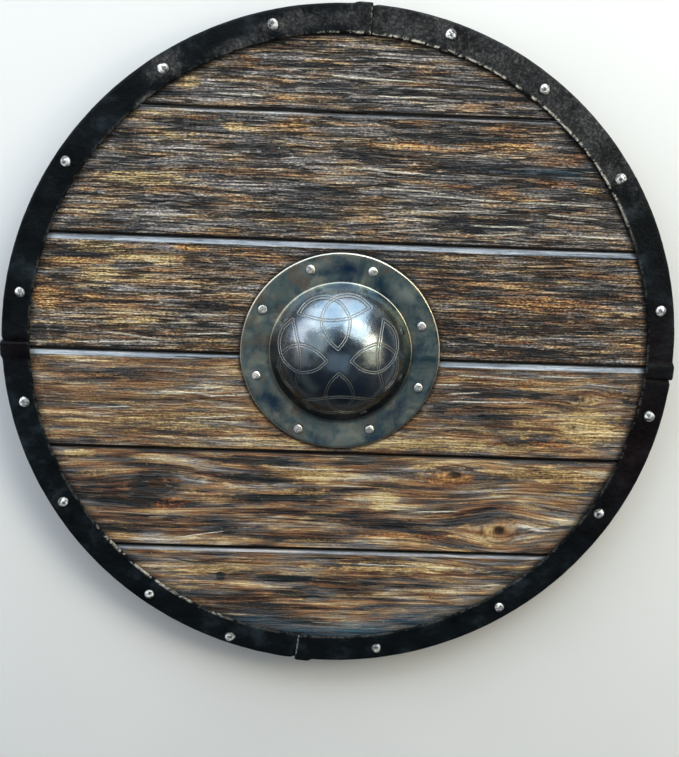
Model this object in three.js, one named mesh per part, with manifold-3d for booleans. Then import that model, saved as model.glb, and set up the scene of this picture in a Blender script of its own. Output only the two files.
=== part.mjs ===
// A round wooden shield, lying on its back: six planks side by side, a leather rim in four lapped
// strips, a domed steel boss with engraved knots over the hand hole, and a grip bar behind.
// Millimetres. +Z is out of the face, +Y is the shield's top, and the planks run along X.
// The origin is under the middle of the shield, on the surface that the grip bar rests on.
import * as THREE from 'three';
import { mergeVertices } from 'three/addons/utils/BufferGeometryUtils.js';
import Module from 'manifold-3d';

// Fit between pieces that touch
const clearance = 0.3;

// Board
const shieldDiameter = 610;
const plankThickness = 12;
const topSeam = 212.5; // height of the highest seam above the middle
const plankWidths = [113, 105.5, 91.5, 95.5]; // the four planks between the seams, from the top down
const seamGap = 0.8;
const topChamfers = [3, 2.5, 5.5, 5.5, 1, 3.5]; // width of each plank's upper chamfer, from the top down
const topChamferSlope = 0.55; // depth of an upper chamfer for each millimetre of its width
const lowerChamfer = 1.8;
const boardSides = 72;
const overcut = 1; // how far a cutter runs past the wood

// Leather rim, a strip of U section folded over the board's edge
const leatherThickness = 2.4;
const rimFrontWidth = 25;
const rimBackWidth = 22;
const rimEdgeBevel = 2;
const stripStarts = [87, 180, 264, 357]; // degrees from +X, where each strip begins on top of the last
const lapLength = 12;
const lapRamp = 5;
const paredThickness = 1.2; // of a strip's end, where the next strip covers it
const stripSteps = 13;

// Rivets: a domed head, a shank and a flat rove behind
const rivetSides = 8;
const shankRadius = 2;
const rimHeadRadius = 5.4;
const rimHeadHeight = 2.8;
const bossHeadRadius = 5;
const bossHeadHeight = 2.6;
const roveRadius = 4.5;
const roveThickness = 1.5;
// Each rim rivet as its angle in degrees and how far it strays outwards from the strip's middle.
const rimRivets = [
  [9.5, 0], [34.5, 0], [55, 0], [73.5, 2], [103.5, 0.5], [123.5, 0.5], [146.5, 2], [171, -1.5],
  [191, -1.5], [211, 0.5], [234.5, 3], [251.5, 5], [279, 1.5], [303.5, 1], [329.5, -3], [350, 0],
];

// Boss, a steel sheet raised to a dome with a flat flange around it
const sheetThickness = 2;
const flangeWidth = 27;
const flangeBevel = 1.2;
const domeFootRadius = 64;
const domeHeight = 44; // from the flange's face to the top
const domeFootHeight = 5; // the steep wall below the crown
const domeFootLean = 2; // how far that wall leans in
const bossSides = 36;
const crownRings = 8;
const insideRings = 4;
const handHoleStep = 4; // how far the wood comes in past the boss's inside wall
const handHoleSides = 32;
const bossRivetInset = 11.5; // from the flange's edge to the circle of rivets
// Each boss rivet as its angle in degrees and how far it strays outwards from that circle.
const bossRivets = [
  [20, -2], [70.5, 0], [111.5, 1], [152.5, 1], [197.5, -0.5], [244, 2], [292.5, -2], [337, -1],
];

// Engraved knots: four three-cornered knots around the dome. Each point is a share of the dome's foot
// radius: first outwards from the dome's top, then sideways.
const knotTurns = [3, 7, 2, 3]; // degrees that each knot is turned from its quarter
const knotOffset = new THREE.Vector2(-2.3, 2); // the engraver's centre, beside the dome's own
const knotWidth = 2.6;
const knotDepth = 0.9;
const strandSteps = 10;
const crossbarSteps = 4;
const outerTip = [0.632, 0.499];
const innerTip = [0.166, 0];
const strandPath = [
  outerTip, [0.768, 0.361], [0.823, 0.162], [0.766, -0.058], [0.557, -0.192], [0.325, -0.136], innerTip,
];
const crossbarMiddle = [0.534, 0];

// Grip bar across the back, and a nail into each plank
const barEndGap = 13; // from the rim's inner edge to each end of the bar
const barWidth = 32;
const barThickness = 18;
const barEndThickness = 9;
const barTaperLength = 100;
const barBevel = 2;
const handleWidth = 30;
const handleRise = 4; // how far the handle stands up into the hand hole
const handleBevel = 7;
const handleBlend = 10;
const nailHeadRadius = 3.5;
const nailHeadThickness = 1.2;
const nailHeadSink = 0.8;
const nailShankRadius = 1.6;
const nailBite = 7; // how deep a nail goes into the wood

// Levels and radii that follow from these
const rimRadius = shieldDiameter / 2;
const boardRadius = rimRadius - leatherThickness - clearance;
const boardBack = barThickness + clearance;
const boardFront = boardBack + plankThickness;
const leatherFront = boardFront + clearance + leatherThickness;
const leatherBack = boardBack - clearance - leatherThickness;
const flangeBack = boardFront + clearance;
const flangeFront = flangeBack + sheetThickness;
const rimRivetCircle = rimRadius - rimFrontWidth / 2;
const flangeRadius = domeFootRadius + flangeWidth;
const bossRivetCircle = flangeRadius - bossRivetInset;
const handHoleRadius = domeFootRadius - sheetThickness - handHoleStep;
const barEnd = rimRadius - rimBackWidth - barEndGap;
const seams = plankWidths.reduce((heights, width) => [...heights, heights.at(-1) - width], [topSeam]);

const wasm = await Module();
wasm.setup();

const radians = THREE.MathUtils.degToRad;
const polar = (angle, radius) => [Math.cos(angle) * radius, Math.sin(angle) * radius];

// A closed geometry as a solid that can be joined and cut.
function solidOf(geometry) {
  const bare = geometry.clone();
  bare.deleteAttribute('normal');
  bare.deleteAttribute('uv');
  const merged = mergeVertices(bare, 1e-4);
  return new wasm.Manifold(new wasm.Mesh({
    numProp: 3,
    vertProperties: merged.attributes.position.array,
    triVerts: new Uint32Array(merged.index.array),
  }));
}

// A solid as a geometry again.
function geometryOf(solid) {
  const mesh = solid.getMesh();
  const geometry = new THREE.BufferGeometry();
  geometry.setAttribute('position', new THREE.BufferAttribute(new Float32Array(mesh.vertProperties), 3));
  geometry.setIndex(new THREE.BufferAttribute(new Uint32Array(mesh.triVerts), 1));
  return geometry;
}

// A profile of [radius, height] points turned around the Z axis.
function turned(profile, sides) {
  const points = profile.map(([radius, height]) => new THREE.Vector2(radius, height));
  return new THREE.LatheGeometry(points, sides).rotateX(Math.PI / 2);
}

// An upright prism with regular sides, from one height to another.
function post(x, y, radius, low, high, sides) {
  const geometry = new THREE.CylinderGeometry(radius, radius, high - low, sides);
  return solidOf(geometry.rotateX(Math.PI / 2).translate(x, y, (low + high) / 2));
}

// A closed skin through rings of matching points, with both ends filled. The rings run forwards
// along the piece, and section is the same ring in its own plane, anticlockwise from behind.
function lofted(rings, section) {
  const count = section.length;
  const last = (rings.length - 1) * count;
  const index = [];
  for (let ring = 0; ring + 1 < rings.length; ring += 1) {
    for (let point = 0; point < count; point += 1) {
      const here = ring * count + point;
      const beside = ring * count + (point + 1) % count;
      index.push(here, beside + count, beside, here, here + count, beside + count);
    }
  }
  const contour = section.map(([across, up]) => new THREE.Vector2(across, up));
  for (const [a, b, c] of THREE.ShapeUtils.triangulateShape(contour, [])) {
    index.push(a, b, c, last + a, last + c, last + b);
  }
  const geometry = new THREE.BufferGeometry();
  geometry.setAttribute('position', new THREE.Float32BufferAttribute(rings.flat(2), 3));
  geometry.setIndex(index);
  return geometry;
}

// Holes

// The gap-wide hole around a rivet's shank, through the whole shield.
function shankHole([angle, stray], circle) {
  const [x, y] = polar(radians(angle), circle + stray);
  const sides = 6;
  const radius = (shankRadius + clearance) / Math.cos(Math.PI / sides);
  return post(x, y, radius, -overcut, flangeFront + overcut, sides);
}

const rimHoles = rimRivets.map((rivet) => shankHole(rivet, rimRivetCircle)).reduce((a, b) => a.add(b));
const bossHoles = bossRivets.map((rivet) => shankHole(rivet, bossRivetCircle)).reduce((a, b) => a.add(b));

// Planks

// One plank's cross-section, a board with its two front edges chamfered, run along X.
function plankBlank(low, high, topChamfer) {
  const outline = new THREE.Shape([
    [low, boardBack],
    [high, boardBack],
    [high, boardFront - topChamfer * topChamferSlope],
    [high - topChamfer, boardFront],
    [low + lowerChamfer, boardFront],
    [low, boardFront - lowerChamfer],
  ].map(([y, z]) => new THREE.Vector2(y, z)));
  const blank = new THREE.ExtrudeGeometry(outline, { depth: shieldDiameter, bevelEnabled: false });
  const alongX = new THREE.Matrix4().makeBasis(
    new THREE.Vector3(0, 1, 0), new THREE.Vector3(0, 0, 1), new THREE.Vector3(1, 0, 0),
  );
  return solidOf(blank.translate(0, 0, -shieldDiameter / 2).applyMatrix4(alongX));
}

const roundBoard = post(0, 0, boardRadius, boardBack - overcut, boardFront + overcut, boardSides);
const handHole = post(0, 0, handHoleRadius, boardBack - overcut, boardFront + overcut, handHoleSides);

// A plank's lower and upper edge. The outermost two run out to the rim.
function plankSpan(number) {
  const low = number === seams.length ? -rimRadius : seams[number] + seamGap / 2;
  const high = number === 0 ? rimRadius : seams[number - 1] - seamGap / 2;
  return [low, high];
}

// One nail to a plank, in the middle of the longest stretch of it that the bar lies on.
const nailPlaces = topChamfers.map((_, number) => {
  const [low, high] = plankSpan(number);
  const above = [Math.max(low, handHoleRadius), Math.min(high, barEnd)];
  const below = [Math.max(low, -barEnd), Math.min(high, -handHoleRadius)];
  const [from, to] = above[1] - above[0] > below[1] - below[0] ? above : below;
  return (from + to) / 2;
});

// Height of the bar's back face, which rises towards both ends.
function barBack(y) {
  const intoTaper = Math.max(0, Math.abs(y) - (barEnd - barTaperLength));
  return intoTaper / barTaperLength * (barThickness - barEndThickness);
}

const nailSides = 6;
const nailTip = boardBack + nailBite;

// The room for one nail, with a pocket that sinks its head below the bar's back.
function nailHole(y) {
  const pocketTop = barBack(y) + nailHeadSink + nailHeadThickness + clearance;
  const shank = post(0, y, nailShankRadius + clearance, -overcut, nailTip + clearance, nailSides);
  return shank.add(post(0, y, nailHeadRadius + clearance, -overcut, pocketTop, nailSides));
}

const nailHoles = nailPlaces.map(nailHole).reduce((a, b) => a.add(b));
const boardCuts = rimHoles.add(bossHoles).add(nailHoles).add(handHole);

function plank(number) {
  const [low, high] = plankSpan(number);
  return plankBlank(low, high, topChamfers[number]).intersect(roundBoard).subtract(boardCuts);
}

// Leather rim

// The strip's U section as [radius, height] points, raised all round over what lies under it and
// thinned from outside. A wall of straight steps stays clear of the board that it wraps when its
// corners stand a little further out.
function rimSection(raised, thinned, cornerFactor) {
  const outer = rimRadius + raised - thinned;
  const front = leatherFront + raised - thinned;
  const back = leatherBack - raised + thinned;
  const innerWall = (boardRadius + clearance + raised) * cornerFactor;
  const innerFront = boardFront + clearance + raised;
  const innerBack = boardBack - clearance - raised;
  const bevel = rimEdgeBevel * (1 - thinned / leatherThickness);
  return [
    [rimRadius - rimFrontWidth, innerFront],
    [innerWall, innerFront],
    [innerWall, innerBack],
    [rimRadius - rimBackWidth, innerBack],
    [rimRadius - rimBackWidth, back],
    [outer - bevel, back],
    [outer, back + bevel],
    [outer, front - bevel],
    [outer - bevel, front],
    [rimRadius - rimFrontWidth, front],
  ];
}

// A strip starts raised, over the pared end of the strip before it, and its own pared end runs under
// the next one.
function rimStrip(number) {
  const turnOf = (length) => length / rimRadius;
  const start = radians(stripStarts[number]);
  const nextStart = radians(stripStarts[(number + 1) % stripStarts.length]);
  const sweep = THREE.MathUtils.euclideanModulo(nextStart - start, 2 * Math.PI);
  const raised = paredThickness + clearance;
  const thinned = leatherThickness - paredThickness;
  const levelStart = start + turnOf(lapLength + clearance + lapRamp);
  const levelEnd = start + sweep - turnOf(clearance + lapRamp);
  const stepTurn = (levelEnd - levelStart) / stripSteps;
  const level = Array.from({ length: stripSteps + 1 }, (_, step) => [levelStart + step * stepTurn, 0, 0]);
  const bends = [
    [start, raised, 0],
    [start + turnOf(lapLength + clearance), raised, 0],
    ...level,
    [start + sweep - turnOf(clearance), 0, thinned],
    [start + sweep + turnOf(lapLength), 0, thinned],
  ];
  const cornerFactor = 1 / Math.cos(stepTurn / 2);
  const rings = bends.map(([angle, up, down]) => rimSection(up, down, cornerFactor)
    .map(([radius, height]) => [...polar(angle, radius), height]));
  return solidOf(lofted(rings, rimSection(0, 0, cornerFactor))).subtract(rimHoles);
}

// Rivets and nails

// A rivet whose head sits on the front level and whose rove closes on the back level.
function rivet(headRadius, headHeight, front, back) {
  const shoulder = front + clearance;
  const roveFront = back - clearance;
  return turned([
    [0, roveFront - roveThickness],
    [roveRadius, roveFront - roveThickness],
    [roveRadius, roveFront],
    [shankRadius, roveFront],
    [shankRadius, shoulder],
    [headRadius, shoulder],
    [headRadius * 0.7, shoulder + headHeight * 0.7],
    [0, shoulder + headHeight],
  ], rivetSides);
}

function gripNail(y) {
  const headBack = barBack(y) + nailHeadSink;
  const headFront = headBack + nailHeadThickness;
  return turned([
    [0, headBack],
    [nailHeadRadius, headBack],
    [nailHeadRadius, headFront],
    [nailShankRadius, headFront],
    [nailShankRadius, nailTip],
    [0, nailTip],
  ], nailSides);
}

// Boss

// The crown is part of a ball that passes through the dome's top and the upper edge of its foot.
const crownRise = domeHeight - domeFootHeight;
const crownEdge = domeFootRadius - domeFootLean;
const crownRadius = (crownRise ** 2 + crownEdge ** 2) / (2 * crownRise);
const crownCentre = flangeFront + domeHeight - crownRadius;

// Points down a ball's surface from the crown's edge to its top, or the other way.
function crownArc(radius, rings) {
  const edgeAngle = Math.asin(crownEdge / crownRadius);
  return Array.from({ length: rings + 1 }, (_, ring) => {
    const angle = edgeAngle * (1 - ring / rings);
    return [radius * Math.sin(angle), crownCentre + radius * Math.cos(angle)];
  });
}

function bossBlank() {
  const inside = crownArc(crownRadius - sheetThickness, insideRings).reverse();
  return turned([
    ...inside,
    [domeFootRadius - sheetThickness, flangeBack],
    [flangeRadius, flangeBack],
    [flangeRadius, flangeFront - flangeBevel],
    [flangeRadius - flangeBevel, flangeFront],
    [domeFootRadius, flangeFront],
    ...crownArc(crownRadius, crownRings),
  ], bossSides);
}

// A cutter that follows a curve, given as seen from above, over the crown. It reaches knotDepth into
// the steel, and standOut keeps its outside clear of the surface.
function engraving(curve, steps, turn) {
  const standOut = 1;
  const centre = new THREE.Vector3(0, 0, crownCentre);
  const onCrown = (share) => {
    const flat = curve.getPoint(share).multiplyScalar(domeFootRadius);
    flat.rotateAround(new THREE.Vector2(), turn).add(knotOffset);
    return new THREE.Vector3(flat.x, flat.y, crownCentre + Math.sqrt(crownRadius ** 2 - flat.lengthSq()));
  };
  const section = [
    [-knotWidth / 2, -knotDepth],
    [knotWidth / 2, -knotDepth],
    [knotWidth / 2, standOut],
    [-knotWidth / 2, standOut],
  ];
  const nearby = 0.01;
  const rings = Array.from({ length: steps + 1 }, (_, step) => {
    const share = step / steps;
    const place = onCrown(share);
    const outwards = place.clone().sub(centre).normalize();
    const forwards = onCrown(Math.min(1, share + nearby)).sub(onCrown(Math.max(0, share - nearby)));
    const sideways = forwards.cross(outwards).normalize();
    return section.map(([across, up]) => place.clone()
      .addScaledVector(sideways, across).addScaledVector(outwards, up).toArray());
  });
  return solidOf(lofted(rings, section));
}

// The three strands of one knot: two that cross outside, each from an outer corner round to the inner
// one, and the crossbar between the outer corners.
function knotCutters(turn) {
  const mirrored = ([outwards, sideways]) => [outwards, -sideways];
  const crossbar = [outerTip, crossbarMiddle, mirrored(outerTip)];
  const strands = [
    [strandPath, strandSteps],
    [strandPath.map(mirrored), strandSteps],
    [crossbar, crossbarSteps],
  ];
  return strands.map(([points, steps]) => {
    const curve = new THREE.SplineCurve(points.map(([x, y]) => new THREE.Vector2(x, y)));
    return engraving(curve, steps, turn);
  });
}

function boss() {
  let solid = solidOf(bossBlank()).subtract(bossHoles);
  knotTurns.forEach((turn, knot) => {
    for (const cutter of knotCutters(radians(turn) + knot / knotTurns.length * 2 * Math.PI)) {
      solid = solid.subtract(cutter);
    }
  });
  return geometryOf(solid);
}

// Grip bar

// The bar's section at one place along it: a rectangle with its corners cut.
function barSection(halfWidth, back, front, bevel) {
  return [
    [-halfWidth + bevel, back],
    [halfWidth - bevel, back],
    [halfWidth, back + bevel],
    [halfWidth, front - bevel],
    [halfWidth - bevel, front],
    [-halfWidth + bevel, front],
    [-halfWidth, front - bevel],
    [-halfWidth, back + bevel],
  ];
}

function gripBar() {
  const handleEnd = handHoleRadius - handleBlend;
  const halfStations = [
    [handleEnd - handleBlend, handleWidth, handleRise, handleBevel],
    [handleEnd, barWidth, 0, barBevel],
    [barEnd - barTaperLength, barWidth, 0, barBevel],
    [barEnd, barWidth, 0, barBevel],
  ];
  const otherHalf = halfStations.map(([y, ...sizes]) => [-y, ...sizes]).reverse();
  const stations = [...otherHalf, ...halfStations];
  const sections = stations.map(([y, width, rise, bevel]) => (
    barSection(width / 2, barBack(y), barThickness + rise, bevel)
  ));
  const rings = sections.map((section, place) => section.map(([x, z]) => [x, stations[place][0], z]));
  return geometryOf(solidOf(lofted(rings, sections[0])).subtract(nailHoles));
}

// Materials

const planksWood = new THREE.MeshStandardMaterial({ color: '#665b4d', roughness: 0.62, metalness: 0 });
const gripWood = new THREE.MeshStandardMaterial({ color: '#7d6647', roughness: 0.6, metalness: 0 });
const blackLeather = new THREE.MeshStandardMaterial({ color: '#17191c', roughness: 0.5, metalness: 0 });
const bossSteel = new THREE.MeshStandardMaterial({ color: '#8d9596', roughness: 0.32, metalness: 1 });
const rivetSteel = new THREE.MeshStandardMaterial({ color: '#b8bab8', roughness: 0.28, metalness: 1 });
const nailIron = new THREE.MeshStandardMaterial({ color: '#3c3a38', roughness: 0.5, metalness: 1 });

const shield = new THREE.Group();

function place(name, geometry, material, x = 0, y = 0) {
  const mesh = new THREE.Mesh(geometry, material);
  mesh.name = name;
  mesh.position.set(x, y, 0);
  shield.add(mesh);
}

// The shield, piece by piece

topChamfers.forEach((_, number) => {
  place(`plank_${number + 1}`, geometryOf(plank(number)), planksWood);
});
stripStarts.forEach((_, number) => {
  place(`rim_strip_${number + 1}`, geometryOf(rimStrip(number)), blackLeather);
});
rimRivets.forEach(([angle, stray], number) => {
  const [x, y] = polar(radians(angle), rimRivetCircle + stray);
  const geometry = rivet(rimHeadRadius, rimHeadHeight, leatherFront, leatherBack);
  place(`rim_rivet_${String(number + 1).padStart(2, '0')}`, geometry, rivetSteel, x, y);
});
place('boss', boss(), bossSteel);
bossRivets.forEach(([angle, stray], number) => {
  const [x, y] = polar(radians(angle), bossRivetCircle + stray);
  const geometry = rivet(bossHeadRadius, bossHeadHeight, flangeFront, boardBack);
  place(`boss_rivet_${number + 1}`, geometry, rivetSteel, x, y);
});
place('grip_bar', gripBar(), gripWood);
nailPlaces.forEach((y, number) => {
  place(`grip_nail_${number + 1}`, gripNail(y), nailIron, 0, y);
});

export default shield;
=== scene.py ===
import math

import bmesh
import bpy
import numpy as np
from mathutils import Matrix, Vector


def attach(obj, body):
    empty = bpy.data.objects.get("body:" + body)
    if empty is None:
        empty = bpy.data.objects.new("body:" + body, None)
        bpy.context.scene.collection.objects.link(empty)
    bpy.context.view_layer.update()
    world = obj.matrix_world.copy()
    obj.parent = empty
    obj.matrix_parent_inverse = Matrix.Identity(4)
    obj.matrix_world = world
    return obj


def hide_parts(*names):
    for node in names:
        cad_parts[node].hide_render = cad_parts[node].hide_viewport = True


# A round wooden shield on a pale floor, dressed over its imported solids. Lengths in the code are
# millimetres and become metres where a mesh is made. +Z is out of the shield's face, +Y its top.
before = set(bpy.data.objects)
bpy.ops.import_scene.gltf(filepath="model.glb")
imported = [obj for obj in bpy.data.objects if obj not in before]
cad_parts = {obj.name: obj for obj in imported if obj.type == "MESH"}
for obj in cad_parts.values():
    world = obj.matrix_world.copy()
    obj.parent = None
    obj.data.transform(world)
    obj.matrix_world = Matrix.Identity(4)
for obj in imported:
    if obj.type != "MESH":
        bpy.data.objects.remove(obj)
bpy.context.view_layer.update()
MM = 0.001

# Board
RIM_RADIUS = 305
BOARD_RADIUS = 302.3
BOARD_BACK = 18.3
BOARD_FRONT = 30.3
CLEARANCE = 0.3  # between pieces that touch
SEAMS = [212.5, 99.5, -6, -97.5, -193]  # heights of the seams, from the top down
SEAM_GAP = 0.8
TOP_CHAMFERS = [3, 2.5, 4.9, 4.9, 1, 3.3]  # width of each plank's worn upper chamfer
TOP_CHAMFER_SLOPE = 0.55  # depth for each millimetre of width
CHAMFER_SHINE = [0, 0.4, 1, 1, 0.1, 0.75]  # how strongly each upper chamfer is painted with a pale sky sheen
LOWER_CHAMFER = 2.6
LOWER_CHAMFER_SLOPE = 0.8
HAND_HOLE_RADIUS = 58
UPPER_HOLED = 2  # the two planks that the hand hole is cut from
LOWER_HOLED = 3
FRONT_STEP = 0.62  # between points on a plank's front, across the grain
OUTER_PLANK_HEIGHT = 100  # taken for the outermost planks
STATION_STEP = 3.4  # between points along the grain

# Leather rim
LEATHER_THICKNESS = 2.4
LEATHER_FRONT = 33.0
LEATHER_BACK = 15.6
RIM_FRONT_WIDTH = 25
RIM_BACK_WIDTH = 22
STRIP_STARTS = [87, 180, 264, 357]  # degrees from +X
LAP_LENGTH = 12
LAP_RAMP = 5
PARED_THICKNESS = 1.2  # of a strip's end under the next strip
FOLD_RADIUS = 2.4

# Rivets, each as its angle in degrees and how far it strays outwards from its circle
RIM_RIVETS = [
    (9.5, 0), (34.5, 0), (55, 0), (73.5, 2), (103.5, 0.5), (123.5, 0.5), (146.5, 2), (171, -1.5),
    (191, -1.5), (211, 0.5), (234.5, 3), (251.5, 5), (279, 1.5), (303.5, 1), (329.5, -3), (350, 0),
]
BOSS_RIVETS = [
    (20, -2), (70.5, 0), (111.5, 1), (152.5, 1), (197.5, -0.5), (244, 2), (292.5, -2), (337, -1),
]
RIM_RIVET_CIRCLE = 292.5
BOSS_RIVET_CIRCLE = 79.5
SHANK_RADIUS = 2
RIVET_SEGMENTS = 26
HEAD_RINGS = 15
HEAD_LOBES = 7
# Radius and depth of the rove and of the peened end on it, below the level behind
ROVE = [(4.2, 0.3), (4.5, 0.6), (4.4, 1.6), (3.9, 1.8), (2.4, 1.8), (2.3, 2.0), (1.5, 2.4), (0.1, 2.5)]

# Boss
FLANGE_BACK = 30.6
FLANGE_FRONT = 32.6
FLANGE_RADIUS = 91
DOME_FOOT_RADIUS = 64
CROWN_EDGE = 62
CROWN_RADIUS = 68.78
CROWN_CENTRE = 7.82
SHEET = 2
DOME_FOOT = [(62.5, 36.9), (63.0, 35.6), (63.3, 34.4), (63.7, 33.5), (64.4, 32.95), (65.4, 32.7)]
FLANGE_EDGE = [(89.9, 32.45), (90.5, 32.1), (90.85, 31.7), (91, 31.2), (90.9, 30.8), (90.5, 30.6)]
BOSS_SEGMENTS = 560
FLANGE_WAVE = 0.7
DENT_DEPTH = 0.35

# Engraved knots, their points as shares of the dome's foot radius: outwards from the top, then sideways
KNOT_TURNS = [3, 7, 2, 3]  # degrees that each knot is turned from its quarter
KNOT_OFFSET = (-2.3, 2.0)
OUTER_TIP = (0.632, 0.499)
INNER_TIP = (0.166, 0)
STRAND_PATH = [
    OUTER_TIP, (0.768, 0.361), (0.823, 0.162), (0.766, -0.058), (0.557, -0.192), (0.325, -0.136),
    INNER_TIP,
]
CROSSBAR_MIDDLE = (0.534, 0)
LINE_OFFSET = 1.0  # of each of a strand's two lines from its middle
LINE_DEPTH = 0.16
LINE_HALF_WIDTH = 0.45
FAR = 9.0  # a distance from a line that counts as past it

# Grip bar and nails
BAR_END = 270
BAR_TAPER = 100
BAR_WIDTH = 32
BAR_THICKNESS = 18
BAR_END_THICKNESS = 9
HANDLE_WIDTH = 30
HANDLE_RISE = 4
NAIL_SINK = 0.8
# Radius and height, of the head above its face and of the shank's end in the wood
NAIL_HEAD = [
    (0.1, 0), (1.2, 0.02), (2.4, 0.15), (3.1, 0.4), (3.45, 0.8), (3.4, 1.1), (3.0, 1.2), (1.6, 1.2),
]
NAIL_END = [(1.6, 23), (1.0, 24.6), (0.1, 25.3)]


# Camera and view

scene = bpy.context.scene
scene.view_settings.view_transform = "Standard"


def put(name, data):
    """A new object in the scene."""
    made = bpy.data.objects.new(name, data)
    scene.collection.objects.link(made)
    return made


VIEW_DIRECTION = Vector((0.0363843, -0.24340076, -0.96924313))
VIEW_UP = Vector((-0.03201472, 0.9691036, -0.24456752))
lens = bpy.data.cameras.new("camera")
lens.lens = 61.745
lens.sensor_width = 36
camera = put("camera", lens)
facing = Matrix((VIEW_DIRECTION.cross(VIEW_UP), VIEW_UP, -VIEW_DIRECTION)).transposed().to_4x4()
camera.matrix_world = Matrix.Translation((-0.0428, 0.2636, 1.1795)) @ facing
scene.camera = camera


# Light

def panel(name, bearing, tilt, distance, width, height, radiance, colour):
    """A soft light facing the shield, at a bearing from +X and a tilt from +Z, in degrees and metres."""
    light = bpy.data.lights.new(name, "AREA")
    light.shape = "RECTANGLE"
    light.size = width
    light.size_y = height
    light.color = colour
    light.energy = radiance * math.pi * width * height
    lamp = put(name, light)
    bearing, tilt = math.radians(bearing), math.radians(tilt)
    across = math.sin(tilt)
    towards = Vector((across * math.cos(bearing), across * math.sin(bearing), math.cos(tilt)))
    lamp.location = towards * distance
    lamp.rotation_euler = towards.to_track_quat("Z", "Y").to_euler()


panel("sky", 95, 66, 2.2, 3.6, 1.9, 3.0, (0.78, 0.90, 1.0))
panel("window", 57, 46, 2.0, 1.2, 0.9, 4.2, (1.0, 0.98, 0.90))
panel("left_window", 153, 70, 2.0, 1.2, 0.9, 2.5, (1.0, 0.95, 0.98))
panel("sun", 22, 50, 2.0, 0.45, 0.55, 8.0, (1.0, 0.88, 0.6))
panel("warm_wall", 6, 52, 2.2, 1.5, 1.0, 1.5, (1.0, 0.88, 0.6))
panel("left_wall", 150, 38, 2.4, 1.6, 1.2, 0.9, (0.9, 1.0, 0.95))
panel("left_fill", 186, 62, 2.4, 1.6, 1.2, 0.5, (1.0, 0.93, 0.9))
panel("overhead", 262, 12, 2.6, 1.5, 1.2, 0.42, (0.80, 0.94, 1.0))
panel("low_fill", 228, 70, 2.4, 1.2, 0.6, 0.3, (0.9, 1.0, 0.85))

world = bpy.data.worlds.new("studio")
scene.world = world
world.use_nodes = True
background = world.node_tree.nodes["Background"].inputs
background["Color"].default_value = (0.55, 0.68, 0.9, 1)
background["Strength"].default_value = 0.12


# Noise on arrays

def smooth_noise(x, y, seed):
    """Smooth noise from 0 to 1 with lattice cells one unit wide."""
    size = 128
    table = np.random.default_rng(seed).random((size, size))
    column = np.floor(x).astype(int)
    row = np.floor(y).astype(int)
    across = x - column
    up = y - row
    across = across * across * (3 - 2 * across)
    up = up * up * (3 - 2 * up)

    def along(line):
        left = table[column % size, line % size]
        right = table[(column + 1) % size, line % size]
        return left * (1 - across) + right * across

    return along(row) * (1 - up) + along(row + 1) * up


def layered_noise(x, y, seed, layers=3):
    """Layers of smooth noise, each twice as fine and half as strong. The mean is 0.5."""
    total = np.zeros(np.broadcast(x, y).shape)
    weight = 0.0
    for layer in range(layers):
        share = 0.5 ** layer
        scale = 2 ** layer
        total += share * smooth_noise(x * scale + 17.3 * layer, y * scale + 5.1 * layer, seed + layer)
        weight += share
    return total / weight


def fade(low, high, value):
    """0 below low, 1 above high and smooth between."""
    share = np.clip((value - low) / (high - low), 0, 1)
    return share * share * (3 - 2 * share)


# Meshes

def ring_faces(rings, count, wrap=True):
    """Four-cornered faces between rings of count points each."""
    ring, point = np.meshgrid(np.arange(rings - 1), np.arange(count if wrap else count - 1), indexing="ij")
    here = ring * count + point
    beside = ring * count + (point + 1) % count
    return np.stack([here, beside, beside + count, here + count], -1).reshape(-1, 4).tolist()


def closed_faces(rings, count):
    """Faces between rings of points, and one over the first ring and over the last."""
    last = (rings - 1) * count
    return ring_faces(rings, count) + [list(range(count)), list(range(last, last + count))]


def turned(profile, segments):
    """Radius, height and angle of the points of a profile that is turned around Z."""
    radius, height = np.array(profile, dtype=float).T
    angle = np.linspace(0, 2 * math.pi, segments, endpoint=False)
    return np.broadcast_arrays(radius[:, None], height[:, None], angle)


def skin(name, points, material, nodes, attributes, sharp=35):
    """A closed piece made of rings of points, which stands for CAD nodes and rides on the shield.

    Each attribute is a vector at every point, or a tuple of its three parts.
    """
    mesh = bpy.data.meshes.new(name)
    mesh.from_pydata((points.reshape(-1, 3) * MM).tolist(), [], closed_faces(*points.shape[:2]))
    for label, values in attributes:
        values = np.stack(values, -1) if isinstance(values, tuple) else values
        layer = mesh.attributes.new(label, "FLOAT_VECTOR", "POINT")
        layer.data.foreach_set("vector", values.astype(float).ravel())
    body = bmesh.new()
    body.from_mesh(mesh)
    bmesh.ops.recalc_face_normals(body, faces=body.faces)
    body.to_mesh(mesh)
    body.free()
    mesh.shade_smooth()
    mesh.set_sharp_from_angle(angle=math.radians(sharp))
    mesh.materials.append(material)
    piece = put(name, mesh)
    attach(piece, "root")
    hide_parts(*nodes)


# Materials

def tone(red, green, blue):
    """A colour from 0 to 255 as the eye sees it, as the light that it stands for."""
    shares = [value / 255 for value in (red, green, blue)]
    return tuple(s / 12.92 if s <= 0.04045 else ((s + 0.055) / 1.055) ** 2.4 for s in shares) + (1,)


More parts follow.
